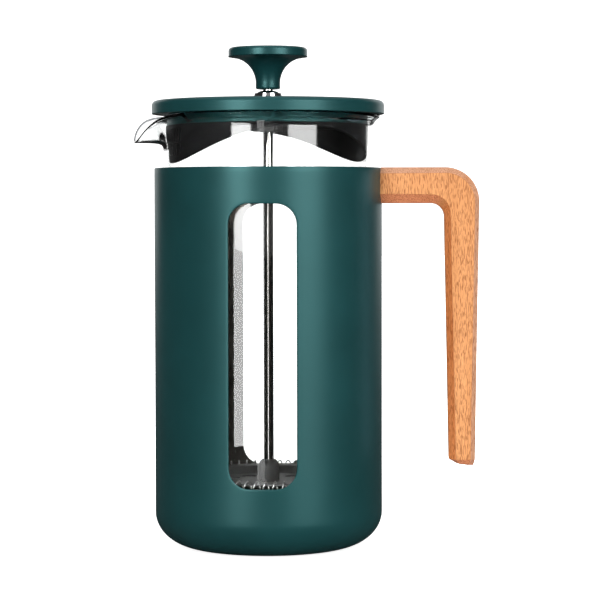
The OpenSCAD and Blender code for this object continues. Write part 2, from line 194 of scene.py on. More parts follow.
def grid_faces(rows, cols, wrap_rows=False, wrap_cols=False, start=0):
    """Quads over a grid of points numbered row by row."""
    faces = []
    for i in range(rows if wrap_rows else rows - 1):
        for j in range(cols if wrap_cols else cols - 1):
            a, b = i * cols + j, i * cols + (j + 1) % cols
            c, d = ((i + 1) % rows) * cols + (j + 1) % cols, ((i + 1) % rows) * cols + j
            faces.append((start + a, start + b, start + c, start + d))
    return faces


def revolved(profile, closed=False, steps=144):
    """Points and faces of an (r, z) profile turned about the Z axis. A closed profile makes a ring."""
    turn = np.linspace(0, 2 * math.pi, steps, endpoint=False)
    r, z = np.array(profile, float).T
    points = np.stack(
        [np.outer(np.cos(turn), r), np.outer(np.sin(turn), r), np.broadcast_to(z, (steps, len(r)))], -1
    ).reshape(-1, 3)
    return points, grid_faces(steps, len(r), wrap_rows=True, wrap_cols=closed)


def swept(sections, closed_path=False):
    """Points and faces of a stack of closed sections, its ends closed with flat caps."""
    sections = np.asarray(sections, float)
    n, m = sections.shape[:2]
    faces = grid_faces(n, m, wrap_rows=closed_path, wrap_cols=True)
    if not closed_path:
        faces += [tuple(range(m)), tuple(range((n - 1) * m, n * m))]
    return sections.reshape(-1, 3), faces


# ---- Material helpers ----


class Look:
    """A material being built: a Principled surface and the nodes that feed it."""

    def __init__(self, name, colour, **surface):
        self.material = bpy.data.materials.new(name)
        self.material.use_nodes = True
        self.tree = self.material.node_tree
        self.surface = self.tree.nodes["Principled BSDF"]
        self.set("Base Color", (*colour, 1))
        for socket, value in surface.items():
            self.set(socket.replace("_", " "), value)
        self.where = self.tree.nodes.new("ShaderNodeTexCoord").outputs["Object"]

    def set(self, socket, value):
        """Sets a socket of the surface to a value, or joins it to a node's output."""
        if isinstance(value, bpy.types.NodeSocket):
            self.tree.links.new(value, self.surface.inputs[socket])
        else:
            self.surface.inputs[socket].default_value = value

    def node(self, kind, inputs, output=0, **settings):
        """Adds a node, fills its inputs by name or number, and returns one output."""
        made = self.tree.nodes.new("ShaderNode" + kind)
        for key, value in settings.items():
            setattr(made, key, value)
        for key, value in inputs.items():
            if isinstance(value, bpy.types.NodeSocket):
                self.tree.links.new(value, made.inputs[key])
            else:
                made.inputs[key].default_value = value
        return made.outputs[output]

    def noise(self, grain, detail=2.0, rough=0.5, shift=0.0):
        """Noise whose grains are about grain millimetres along each axis."""
        grain = (grain,) * 3 if isinstance(grain, (int, float)) else grain
        scaled = self.node(
            "Mapping", {"Vector": self.where, "Location": (shift,) * 3, "Scale": [1 / (g * MM) for g in grain]}
        )
        return self.node("TexNoise", {"Vector": scaled, "Scale": 1.0, "Detail": detail, "Roughness": rough})

    def spread(self, value, low, high, out_low, out_high):
        """Maps a value from one range to another."""
        return self.node(
            "MapRange", {0: value, 1: low, 2: high, 3: out_low, 4: out_high}, clamp=True
        )

    def maths(self, operation, a, b=0.0):
        """One step of arithmetic."""
        return self.node("Math", {0: a, 1: b}, operation=operation)

    def mix(self, share, first, second, blend="MIX"):
        """Mixes two colours."""
        pick = {6: first, 7: second}
        pick = {k: (*v, 1) if isinstance(v, tuple) else v for k, v in pick.items()}
        return self.node("Mix", {0: share, **pick}, output=2, data_type="RGBA", blend_type=blend)

    def bump(self, *layers):
        """Adds bumps, each as (height, strength, depth in millimetres)."""
        normal = None
        for height, strength, depth in layers:
            feeds = {"Height": height, "Strength": strength, "Distance": depth * MM}
            if normal is not None:
                feeds["Normal"] = normal
            normal = self.node("Bump", feeds)
        self.set("Normal", normal)


PAINT_SHEEN = (0.45, 1.0, 1.0, 1.0)


def paint_look(name, colour, rough):
    """Satin powder coat: a fine orange peel and a slight change of tone."""
    look = Look(name, colour, IOR=1.5, Specular_IOR_Level=0.5, Specular_Tint=PAINT_SHEEN)
    cloud = look.noise(35, 3)
    peel, grit = look.noise(0.9, 2), look.noise(0.22, 1, shift=3)
    darker = tuple(c * 0.86 for c in colour)
    lighter = tuple(c * 1.1 for c in colour)
    look.set("Base Color", look.mix(look.spread(cloud, 0.3, 0.7, 0, 1), darker, lighter))
    look.set("Roughness", look.spread(grit, 0.25, 0.75, rough - 0.035, rough + 0.035))
    look.bump((peel, 0.12, 0.03), (grit, 0.1, 0.012))
    return look.material


def beech_look():
    """Oiled beech, its fibres upright, with short dark flecks."""
    look = Look("beech", (0.6, 0.3, 0.13), IOR=1.45, Specular_IOR_Level=0.35)
    board = look.noise((9, 9, 130), 3, 0.55)
    fibre = look.noise((0.5, 0.5, 16), 3, 0.6, shift=5)
    fleck = look.noise((0.26, 0.26, 2.4), 0.5, 0.4, shift=11)
    fleck_far = look.noise((0.3, 0.3, 4.2), 0.5, 0.4, shift=23)
    pale, deep = (0.70, 0.32, 0.122), (0.56, 0.235, 0.078)
    tone = look.mix(look.spread(board, 0.3, 0.7, 0, 1), pale, deep)
    streaked = look.mix(look.spread(fibre, 0.35, 0.75, 0, 0.5), tone, (0.42, 0.16, 0.05))
    marks = look.maths(
        "MAXIMUM", look.spread(fleck, 0.57, 0.65, 0, 1), look.spread(fleck_far, 0.6, 0.68, 0, 0.9)
    )
    grained = look.mix(look.maths("MULTIPLY", marks, 0.8), streaked, (0.22, 0.06, 0.012))
    # Chamfers get painted light and shade by the way they face: darker and warmer inwards and pinker downwards
    # (painted shade), bluer upwards and outwards (a painted sheen), a dark line between
    normal = look.tree.nodes["Texture Coordinate"].outputs["Normal"]
    nx, nz = (look.node("SeparateXYZ", {0: normal}, axis) for axis in (0, 2))
    inwards = look.maths("MULTIPLY", look.maths("MINIMUM", nx, nz), -1.0)
    outwards = look.maths("MAXIMUM", nx, nz)
    down = look.spread(look.maths("MULTIPLY", nz, -1.0), 0.3, 0.55, 0, 1)
    chamfer_shade_tint = look.mix(down, (0.96, 0.74, 0.64), (1.0, 0.84, 1.05))
    slanted = [
        look.maths("MULTIPLY", look.spread(lean, 0.3, 0.55, 0, 1), look.spread(lean, 0.88, 0.97, 1, 0))
        for lean in (inwards, outwards)
    ]
    shaded_chamfers = look.mix(slanted[0], grained, look.mix(1.0, chamfer_shade_tint, grained, "MULTIPLY"))
    shaded_and_lit_chamfers = look.mix(slanted[1], shaded_chamfers, (0.9, 1.08, 1.8), "MULTIPLY")
    leaning = look.maths("MAXIMUM", inwards, outwards)
    edge = look.maths("MULTIPLY", look.spread(leaning, 0.08, 0.2, 0, 0.7), look.spread(leaning, 0.45, 0.6, 1, 0))
    # In reflections the grip is grey: the photograph has no warm line down the sleeve's edge
    x = look.node("SeparateXYZ", {0: look.where}, 0)
    glossy = look.node("LightPath", {}, "Is Glossy Ray")
    grip = look.maths("MULTIPLY", look.spread(x, 0.060, 0.072, 0, 1), glossy)
    look.set("Base Color", look.mix(grip, look.mix(edge, shaded_and_lit_chamfers, (0.4, 0.15, 0.05)), (0.40, 0.52, 0.60)))
    look.set("Roughness", look.spread(fibre, 0.3, 0.7, 0.42, 0.56))
    look.bump((fibre, 0.25, 0.05), (look.maths("SUBTRACT", 1.0, marks), 0.3, 0.05))
    return look.material


def steel_look(name, colour, rough, lines=None, metal=1.0):
    """Steel with faint drawing lines and smudges. lines gives the grain's size along each axis."""
    look = Look(name, colour, Metallic=metal)
    drawn = look.noise(lines or (0.25, 0.25, 6), 2, 0.6)
    smudge = look.noise(9, 3, 0.6, shift=7)
    wear = look.maths("ADD", look.spread(drawn, 0.3, 0.7, -0.04, 0.04), look.spread(smudge, 0.35, 0.7, -0.02, 0.05))
    look.set("Roughness", look.maths("ADD", wear, rough))
    look.set("Base Color", look.mix(look.spread(smudge, 0.3, 0.75, 0, 1), colour, tuple(c * 0.86 for c in colour)))
    look.bump((drawn, 0.08, 0.01))
    return look.material


def plastic_look(name, colour, rough, depth=0.02):
    """Moulded plastic or rubber with a fine spark-eroded grain."""
    look = Look(name, colour, IOR=1.49, Specular_IOR_Level=0.15)
    grain, cloud = look.noise(0.3, 2), look.noise(18, 2, shift=2)
    look.set("Base Color", look.mix(look.spread(cloud, 0.3, 0.7, 0, 1), colour, tuple(c * 1.35 for c in colour)))
    look.set("Roughness", look.spread(grain, 0.3, 0.7, rough - 0.05, rough + 0.06))
    look.bump((grain, 0.15, depth))
    return look.material


def glass_look(name, colour, bend=1.47):
    """Clear borosilicate with the faintest waviness from being blown."""
    look = Look(name, colour, Transmission_Weight=1.0, IOR=bend, Specular_IOR_Level=0.5)
    look.set("Roughness", 0.0)
    look.bump((look.noise((14, 14, 40), 1), 0.04, 0.2))
    return look.material


def mesh_look():
    """Fine woven steel wire. Its openings let through in part, behind a near-black veil that is painted shade."""
    look = Look("woven_mesh", (0.5, 0.5, 0.49), Metallic=1.0, Roughness=0.35)
    pitch = 0.42 * MM
    x = look.node("SeparateXYZ", {0: look.where}, 0)
    y = look.node("SeparateXYZ", {0: look.where}, 1)
    waves = []
    for axis in (x, y):
        turn = look.maths("MULTIPLY", axis, 2 * math.pi / pitch)
        waves.append(look.maths("ABSOLUTE", look.maths("SINE", look.maths("MULTIPLY", turn, 0.5))))
    wires = look.maths("MAXIMUM", *waves)
    # Near black between the wires: painted shade in the openings
    look.set("Base Color", look.mix(look.spread(wires, 0.6, 0.95, 0, 1), (0.03, 0.03, 0.03), (0.55, 0.55, 0.54)))
    look.set("Alpha", look.spread(wires, 0.55, 0.7, 0.35, 1))
    look.bump((wires, 0.6, 0.12))
    return look.material


# ---- Holder ----


def window_loop(grow, square=0.0):
    """Outline of a window in the XZ plane, grown by grow. At square 1 it is a rectangle with the same points."""
    radius = WINDOW_R + grow
    cx = WINDOW_W / 2 - WINDOW_R
    low, high = WINDOW_LOW + WINDOW_R, WINDOW_HIGH - WINDOW_R
    corners = [(cx, low, -90), (cx, high, 0), (-cx, high, 90), (-cx, low, 180)]
    arcs = []
    for x, z, start in corners:
        turn = np.radians(np.linspace(start, start + 90, 13))
        reach = radius * (1 - square + square / np.maximum(abs(np.cos(turn)), abs(np.sin(turn))))
        arcs.append(np.stack([x + reach * np.cos(turn), z + reach * np.sin(turn)], -1))
    out = []
    for i, (points, runs) in enumerate(zip(arcs, (12, 8, 12, 8))):
        ahead = arcs[(i + 1) % 4][0]
        share = np.linspace(0, 1, runs + 1)[1:-1, None]
        out += [points, points[-1] * (1 - share) + ahead * share]
    return np.concatenate(out)


def sleeve_piece(paint, bare):
    """The folded steel cup: painted outside and over its edges, bare inside."""
    margin = 6.0
    frame_loop = window_loop(margin, 1.0)
    edge_x = abs(frame_loop[:, 0]).max()
    rows_z = sorted({round(z, 5) for x, z in frame_loop if x > edge_x - 1e-6})
    cols_x = sorted({round(x, 5) for x, z in frame_loop if z > frame_loop[:, 1].max() - 1e-6})
    front = [math.asin(x / SLEEVE_R) for x in cols_x]
    side = list(np.linspace(front[-1], math.pi - front[-1], 35)[1:-1])
    columns = front + side
    columns += [a + math.pi for a in columns]
    corner_top = SLEEVE_LOW + CORNER_H
    rim_r = SHEET / 2
    below = list(np.linspace(corner_top, rows_z[0], 4)[:-1])
    above = list(np.linspace(rows_z[-1], SLEEVE_TOP - rim_r, 5)[1:])
    rows = below + rows_z + above
    in_window = {j + k * (len(front) + len(side)) for k in (0, 1) for j in range(len(front) - 1)}
    points, faces, skins = [], [], []

    def add(new_points, new_faces, skin):
        start = len(points)
        points.extend(new_points)
        faces.extend(tuple(start + i for i in f) for f in new_faces)
        skins.extend([skin] * len(new_faces))

    def place(angle, radius, z):
        return (radius * math.sin(angle), -radius * math.cos(angle), z)

    for radius, skin in ((SLEEVE_R, 0), (SLEEVE_R - SHEET, 1)):
        grid = [place(a, radius, z) for z in rows for a in columns]
        n = len(columns)
        kept = [
            face
            for k, face in enumerate(grid_faces(len(rows), n, wrap_cols=True))
            if not (len(below) <= k // n < len(below) + len(rows_z) - 1 and k % n in in_window)
        ]
        add(grid, kept, skin)
        for half_turn in (0, math.pi):
            loops = []
            for grow, square in ((margin, 1.0), (4.0, 0.6), (2.4, 0.2), (1.2, 0), (WINDOW_EDGE_R, 0)):
                loop = window_loop(grow, square)
                blend = min(1, max(0, (grow - 1.2) / (margin - 1.2)))
                angles = np.arcsin(loop[:, 0] / (radius * (1 - blend) + SLEEVE_R * blend)) + half_turn
                loops.append([place(a, radius, z) for a, z in zip(angles, loop[:, 1])])
            ring = len(loops[0])
            add(sum(loops, []), grid_faces(len(loops), ring, wrap_cols=True), skin)

    # Rounded edge of each window, from the outside to the inside
    turn = np.linspace(0, math.pi / 2, 4)
    steps = [(WINDOW_EDGE_R * (1 - math.sin(t)), WINDOW_EDGE_R * (1 - math.cos(t))) for t in turn]
    steps += [(grow, SHEET - depth) for grow, depth in reversed(steps)]
    for half_turn in (0, math.pi):
        loops = []
        for grow, depth in steps:
            loop, radius = window_loop(grow), SLEEVE_R - depth
            angles = np.arcsin(loop[:, 0] / radius) + half_turn
            loops.append([place(a, radius, z) for a, z in zip(angles, loop[:, 1])])
        add(sum(loops, []), grid_faces(len(loops), len(loops[0]), wrap_cols=True), 0)

    rim = arc((SLEEVE_R - rim_r, SLEEVE_TOP - rim_r), rim_r, 0, 180, 8)
    flat_r = SLEEVE_R - CORNER_W
    turn = np.radians(np.linspace(0, -90, 25))
    outside = [(flat_r + CORNER_W * math.cos(a), corner_top + CORNER_H * math.sin(a)) for a in turn]
    outside += rounded(
        [(flat_r, SLEEVE_LOW, 0), (PAD_R, SLEEVE_LOW, 0.4), (PAD_R, PAD_TOP, 0), (0, PAD_TOP, 0)], steps=4
    )
    inside = [
        (flat_r + (CORNER_W - SHEET) * math.cos(a), corner_top + (CORNER_H - SHEET) * math.sin(a)) for a in turn
    ]
    inside += [(PAD_R + SHEET, SLEEVE_LOW + SHEET), (PAD_R + SHEET - 0.6, PAD_TOP + SHEET), (0, PAD_TOP + SHEET)]
    for profile, skin in ((rim, 0), (outside, 0), (inside, 1)):
        grid = [place(a, r, z) for r, z in profile for a in columns]
        add(grid, grid_faces(len(profile), len(columns), wrap_cols=True), skin)
    piece("sleeve_shell", "holder", points, faces, [paint, bare], ["holder_sleeve"], face_looks=skins)


def handle_piece(wood):
    """The beech handle: one chamfered section carried along the arm, round the bend and down the grip."""
    out_bend = (GRIP_OUT - BEND_OUT_R, ARM_TOP - BEND_OUT_R)
    in_bend = (GRIP_IN - BEND_IN_R, ARM_LOW - BEND_IN_R)
    # Each station is an outer point, an inner point and a share of the way from the arm to the grip
    stations = []
    for t in np.linspace(0, 1, 8):
        root = SLEEVE_R + 1.5
        outer = (root + (out_bend[0] - root) * t, ARM_TOP)
        inner = (root + (in_bend[0] - root) * t, ARM_LOW)
        stations.append((outer, inner, 0.0))
    for o, i, t in zip(
        arc(out_bend, BEND_OUT_R, 90, 0, 20), arc(in_bend, BEND_IN_R, 90, 0, 20), np.linspace(0, 1, 21)
    ):
        stations.append((o, i, t))
    for t in np.linspace(0, 1, 14)[1:]:
        z_out = out_bend[1] + (GRIP_FOOT + FOOT_H - out_bend[1]) * t
        z_in = in_bend[1] + (GRIP_FOOT + FOOT_H - in_bend[1]) * t
        lean = (GRIP_OUT - FOOT_OUT) * (out_bend[1] - z_out) / (out_bend[1] - GRIP_FOOT)
        lean_in = (FOOT_IN - GRIP_IN) * (in_bend[1] - z_in) / (in_bend[1] - GRIP_FOOT)
        stations.append(((GRIP_OUT - lean, z_out), (GRIP_IN + lean_in, z_in), 1.0))
    sections = []
    for outer, inner, bend in stations:
        outer, inner = np.array(outer), np.array(inner)
        length = float(np.linalg.norm(outer - inner))
        along = (outer - inner) / length
        cut_in, cut_out = (arm + (grip - arm) * bend for arm, grip in CHAMFER_CUTS)
        drop_in, drop_out = (arm + (grip - arm) * bend for arm, grip in CHAMFER_DROPS)
        h = HANDLE_HALF
        corners = [
            (0, -h + drop_in, HANDLE_EDGE_R * 2),
            (cut_in, -h, HANDLE_EDGE_R),
            (length - cut_out, -h, HANDLE_EDGE_R),
            (length, -h + drop_out, HANDLE_EDGE_R * 2),
            (length, h - drop_out, HANDLE_EDGE_R * 2),
            (length - cut_out, h, HANDLE_EDGE_R),
            (cut_in, h, HANDLE_EDGE_R),
            (0, h - drop_in, HANDLE_EDGE_R * 2),
        ]
        sections.append((inner, along, rounded(corners, steps=3)))
    rings = []
    for inner, along, outline in sections:
        rings.append([(inner[0] + along[0] * q, y, inner[1] + along[1] * q) for q, y in outline])
    # The root meets the round sleeve
    root = [(math.sqrt(SLEEVE_R**2 - y * y), y, z) for x, y, z in rings[0]]
    rings.insert(0, root)
    # The foot: chamfered all round, then a small round onto its sloping end, which is flat at its lowest
    last = np.array(rings[-1])
    middle = last.mean(0)
    for inset, drop in FOOT_RINGS:
        ring = last.copy()
        wide = np.array([last[:, 0].max() - last[:, 0].min(), 2 * HANDLE_HALF]) / 2
        away = ring[:, :2] - middle[:2]
        side = np.clip(away[:, 0] / wide[0], -1, 1)
        pull = inset * np.where(side < 0, 1 - 0.6 * side, 1 - 0.7 * side)
        ring[:, :2] -= away / np.maximum(abs(away) / wide, 1e-6).max(1, keepdims=True) / wide * pull[:, None]
        ring[:, 2] -= drop + (ring[:, 0] - FOOT_OUT) * FOOT_SLOPE * (drop / FOOT_H)
        rings.append(ring)
    points, faces = swept(rings)
    points[:, 2] = np.maximum(points[:, 2], GRIP_FOOT)
    weigh_normals(piece("beech_handle", "holder", points, faces, [wood], ["handle"], sharp=50))


# ---- Beaker ----


def glass_profile(phi):
    """(r, z) profile of the beaker at phi degrees from the spout: outside, rim, inside. Also the numbers of the edges
    round the rim's bead."""
    reach = math.cos(math.pi / 2 * min(1, abs(phi) / SPOUT_HALF)) ** 1.2
    droop = math.exp(-((phi / DROOP_HALF) ** 2)) if abs(phi) < SPOUT_SIDE - 1 else 0.0
    rim_mid = FLARE_R + GLASS_WALL / 2
    end = math.radians(FLARE_END)
    plain_r = GLASS_R + FLARE_R + rim_mid * math.cos(end)
    plain_z = FLARE_Z + rim_mid * math.sin(end)
    bead = BEAD_R + (SPOUT_BEAD_R - BEAD_R) * reach
    wall = GLASS_WALL + (SPOUT_WALL - GLASS_WALL) * reach
    rim_r = plain_r + (SPOUT_REACH - SPOUT_BEAD_R - plain_r) * reach
    rim_z = plain_z + (SPOUT_LOW + SPOUT_BEAD_R - plain_z) * droop
    # Outside line: up the wall, then out to the rim
    leave = FLARE_Z + (SPOUT_LOW - SPOUT_DEPTH - FLARE_Z) * max(reach**0.7, droop)
    tangent = math.radians((FLARE_END - 90) * (1 - max(droop, reach)))
    out = np.array([math.cos(tangent), math.sin(tangent)])
    side = np.array([-out[1], out[0]])
    rim = np.array([rim_r, rim_z])
    end_out = rim - side * wall / 2 - out * 0.1
    run = float(np.hypot(end_out[0] - GLASS_R, end_out[1] - leave))
    pull = 0.36 * run * (1 - reach) + SPOUT_DEPTH * reach
    push = 0.30 * run * (1 - reach) + 0.80 * run * reach
    p0 = np.array([GLASS_R, leave])
    p1, p2 = p0 + (0, pull), end_out - out * push
    t = np.linspace(0, 1, 19)[:, None]
    outer = (1 - t) ** 3 * p0 + 3 * (1 - t) ** 2 * t * p1 + 3 * (1 - t) * t**2 * p2 + t**3 * end_out
    slope = 3 * (1 - t) ** 2 * (p1 - p0) + 6 * (1 - t) * t * (p2 - p1) + 3 * t**2 * (end_out - p2)
    slope /= np.linalg.norm(slope, axis=1, keepdims=True)
    normal = np.stack([-slope[:, 1], slope[:, 0]], -1)
    thick = GLASS_WALL + (wall - GLASS_WALL) * t
    inner = outer + normal * thick
    start = math.degrees(math.atan2(-side[1], -side[0]))
    round_bead = arc(rim + out * (bead * 0.25), bead, start, start + 180, 10)
    foot = [(0, GLASS_LOW), (GLASS_R * 0.5, GLASS_LOW)]
    foot += arc((GLASS_R - GLASS_CORNER, GLASS_LOW + GLASS_CORNER), GLASS_CORNER, -90, 0, 14)
    inner_r = GLASS_R - GLASS_WALL
    corner = GLASS_CORNER - GLASS_WALL
    low = GLASS_LOW + GLASS_FLOOR
    bowl = arc((inner_r - corner, low + corner), corner, 0, -90, 14) + [(inner_r * 0.5, low), (0, low)]
    # Close rows under the flare keep its shading off the straight wall
    near_flare = [leave - 1.2, leave - 0.3]
    middle = [(GLASS_R, z) for z in [*np.linspace(GLASS_LOW + GLASS_CORNER, leave, 8)[1:-1], *near_flare]]
    middle_in = [(inner_r, z) for z in [*near_flare[::-1], *np.linspace(leave, low + corner, 8)[1:-1]]]
    line = foot + middle + [tuple(p) for p in outer] + round_bead + [tuple(p) for p in inner[::-1]] + middle_in + bowl
    first = len(foot) + len(middle) + len(outer) - 1
    return line, range(first, first + len(round_bead))


def glass_piece(glass, lip, rim):
    """The blown beaker. Its spout's far lip is glass coloured near black, a painted shade that shows as a thin dark
    line, and the rest of its rim hardly bends light.
    """
    turns = np.concatenate([np.arange(-SPOUT_SIDE, SPOUT_SIDE, 0.9), np.arange(SPOUT_SIDE, 360 - SPOUT_SIDE, 1.8)])
    points, profiles = [], [glass_profile((a + 180) % 360 - 180) for a in turns]
    for a, (profile, _) in zip(np.radians(turns + SPOUT_ANGLE), profiles):
        points += [(r * math.cos(a), r * math.sin(a), z) for r, z in profile]
    profile, bead = profiles[0]
    faces = grid_faces(len(turns), len(profile), wrap_rows=True)
    across = len(profile) - 1
    curl = range(bead.start - CURL_ROWS, bead.stop + CURL_ROWS)
    skins = []
    for i in range(len(faces)):
        turn = turns[i // across]
        on_lip = i % across in bead and LIP_FROM < turn < LIP_TO
        skins.append(1 if on_lip else 2 if i % across in curl and turn > RIM_FROM else 0)
    piece("blown_glass", "beaker", points, faces, [glass, lip, rim], ["glass_beaker"], 70, skins)


# ---- Lid ----


def lid_pieces(paint, black, chrome):
    """Cap, neck and guide as turned pieces with soft edges, and the waved insert."""
    edge_z = LID_TOP - LID_CROWN
    bore = GUIDE_R + 0.06
    cap = rounded(
        [
            (bore, LID_TOP, 0.15),
            (9, LID_TOP, 30),
            (LID_R, edge_z, LID_EDGE_R),
            (LID_R, LID_LOW, 0.3),
            (LID_R - LID_SHEET, LID_LOW, 0.3),
            (LID_R - LID_SHEET, edge_z - LID_SHEET, LID_EDGE_R - LID_SHEET),
            (9, LID_TOP - LID_SHEET, 30),
            (bore, LID_TOP - LID_SHEET, 0.1),
        ],
        steps=10,
    )
    points, faces = revolved(cap, closed=True, steps=192)
    weigh_normals(piece("cap_shell", "lid", points, faces, [paint], ["lid_cap"]))
    neck_in = NECK_R - LID_SHEET
    flange_r = LID_R - LID_SHEET - 0.1
    neck = rounded(
        [
            (neck_in, NECK_LOW, 0.3),
            (NECK_R, NECK_LOW, 0.35),
            (NECK_R, LID_LOW, 0.8),
            (flange_r, LID_LOW, 0.3),
            (flange_r, LID_LOW + LID_SHEET, 0.2),
            (neck_in, LID_LOW + LID_SHEET, 0.2),
        ],
        steps=5,
    )
    points, faces = revolved(neck, closed=True, steps=192)
    weigh_normals(piece("neck_band", "lid", points, faces, [paint], ["lid_neck"]))
    guide_low, dome_low = guide_box[0].z, LID_TOP + 0.1
    dome_rise = 1.8
    cap_r = (DOME_R**2 + dome_rise**2) / (2 * dome_rise)
    crown = [
        (cap_r * math.sin(a), DOME_TOP - cap_r + cap_r * math.cos(a))
        for a in np.linspace(math.asin((ROD_R + 0.05) / cap_r), math.asin((DOME_R - 0.5) / cap_r), 10)
    ]
    edge = crown[-1][1]
    guide = crown + rounded(
        [
            (DOME_R, edge - 0.2, 0.5),
            (DOME_R, dome_low, 0.3),
            (GUIDE_R, dome_low, 0.05),
            (GUIDE_R, guide_low, 0.4),
            (ROD_R + 0.05, guide_low, 0.3),
        ],
        steps=4,
    )
    points, faces = revolved(guide, closed=True, steps=96)
    piece("guide_dome", "guide", points, faces, [chrome], ["rod_guide"])
    insert_piece(black)


def skirt_low(turn_deg):
    """Height of the skirt's waved edge at an angle from the side opposite the grille, in degrees."""
    side = math.cos(math.radians(turn_deg))
    deepest = SKIRT_LOW if side < 0 else SKIRT_BACK_LOW
    return SKIRT_SHALLOW - (SKIRT_SHALLOW - deepest) * abs(side) ** SKIRT_BOW


def insert_piece(black):
    """The moulded insert: a waved skirt with a two-row grille, a disc and ribs."""
    half_slot = math.degrees(SLOT_W / 2 / SKIRT_TOP_R)
    edges = []
    for i in range(GRILLE_COLUMNS):
        middle = 180 + (i - (GRILLE_COLUMNS - 1) / 2) * GRILLE_STEP
        edges += [middle - half_slot, middle + half_slot]
    left = np.linspace(edges[-1], edges[0] + 360, 181)[1:-1]
    turns = np.array(edges + list(left))
    z_lines = [z for low, height in zip(GRILLE_LOW, GRILLE_HEIGHT) for z in (low, low + height)] + [199.0]
    top = NECK_LOW
    outer, inner = [], []

    def skirt_r(z):
        return SKIRT_TOP_R + (SKIRT_FOOT_R - SKIRT_TOP_R) * (top - z) / (top - SKIRT_LOW)

    foot_round = 0.45
    for a in turns:
        low = skirt_low(a)
        in_grille = edges[0] - 0.1 <= a <= edges[-1] + 0.1
        if in_grille:
            heights = [low + foot_round, low + 1.2, *z_lines, top]
        else:
            shares = [(z - SKIRT_LOW) / (top - SKIRT_LOW) for z in z_lines]
            shares = [0.0, 0.08] + [0.08 + 0.92 * s for s in shares] + [1.0]
            heights = [low + foot_round + (top - low - foot_round) * s for s in shares]
        for column, inset in ((outer, 0.0), (inner, SKIRT_WALL)):
            c, s = math.cos(math.radians(a + LID_TURN)), math.sin(math.radians(a + LID_TURN))
            column.append([((skirt_r(z) - inset) * c, (skirt_r(z) - inset) * s, z) for z in heights])
    n, m = len(turns), len(outer[0])
    points = [p for column in outer for p in column] + [p for column in inner for p in column]
    faces = []
    holes = {(2 * i, row) for i in range(GRILLE_COLUMNS) for row in (2, 4)}
    for i in range(n):
        for j in range(m - 1):
            if (i, j) in holes:
                a, b = i * m + j, i * m + j + 1
                d, c = (i + 1) % n * m + j, (i + 1) % n * m + j + 1
                for p, q in ((a, b), (b, c), (c, d), (d, a)):
                    faces.append((p, q, q + n * m, p + n * m))
                continue
            for start in (0, n * m):
                a = start + i * m + j
                b = start + (i + 1) % n * m + j
                faces.append((a, a + 1, b + 1, b))
    # Rounded foot and flat top of the wall
    for height, shares in (("foot", np.linspace(0, math.pi, 7)), ("top", np.linspace(0, math.pi, 2))):
        start = len(points)
        for a in turns:
            c, s = math.cos(math.radians(a + LID_TURN)), math.sin(math.radians(a + LID_TURN))
            low = skirt_low(a)
            z0 = low + foot_round if height == "foot" else top
            for t in shares:
                r = skirt_r(z0) - SKIRT_WALL / 2 + SKIRT_WALL / 2 * math.cos(t)
                z = z0 - foot_round * math.sin(t) if height == "foot" else z0
                points.append((r * c, r * s, z))
        faces += grid_faces(n, len(shares), wrap_rows=True, start=start)
    weigh_normals(piece("strainer_skirt", "lid", points, faces, [black], ["lid_insert"], sharp=40))
    disc_r = NECK_R - LID_SHEET - 0.02
    bore = GUIDE_R + 0.05
    hub = rounded(
        [
            (bore, INSERT_TOP, 0.2),
            (disc_r, INSERT_TOP, 0.3),
            (disc_r, NECK_LOW - 1.4, 0.1),
            (disc_r - SKIRT_WALL, NECK_LOW - 1.4, 0.3),
            (disc_r - SKIRT_WALL, INSERT_FLOOR, 0.8),
            (7, INSERT_FLOOR, 0.8),
            (7, BOSS_LOW, 0.4),
            (bore, BOSS_LOW, 0.2),
        ],
        steps=4,
    )
    points, faces = revolved(hub, closed=True, steps=144)
    weigh_normals(piece("insert_disc", "lid", points, faces, [black]))
    ribs = 6
    points, faces = [], []
    for i in range(ribs):
        a = math.radians(360 / ribs * i + LID_TURN)
        along, across = np.array([math.cos(a), math.sin(a), 0]), np.array([-math.sin(a), math.cos(a), 0])
        root = INSERT_FLOOR + 0.4
        section = rounded([(-0.7, root, 0), (-0.6, RIB_LOW, 0.3), (0.6, RIB_LOW, 0.3), (0.7, root, 0)], steps=3)
        rings = [
            [along * r + across * w + np.array([0, 0, z]) for w, z in section]
            for r in np.linspace(6.2, disc_r - SKIRT_WALL + 0.2, 6)
        ]
        rib_points, rib_faces = swept(rings)
        start = len(points)
        points += list(rib_points)
        faces += [tuple(start + k for k in f) for f in rib_faces]
    piece("insert_ribs", "lid", points, faces, [black])


# ---- Plunger ----


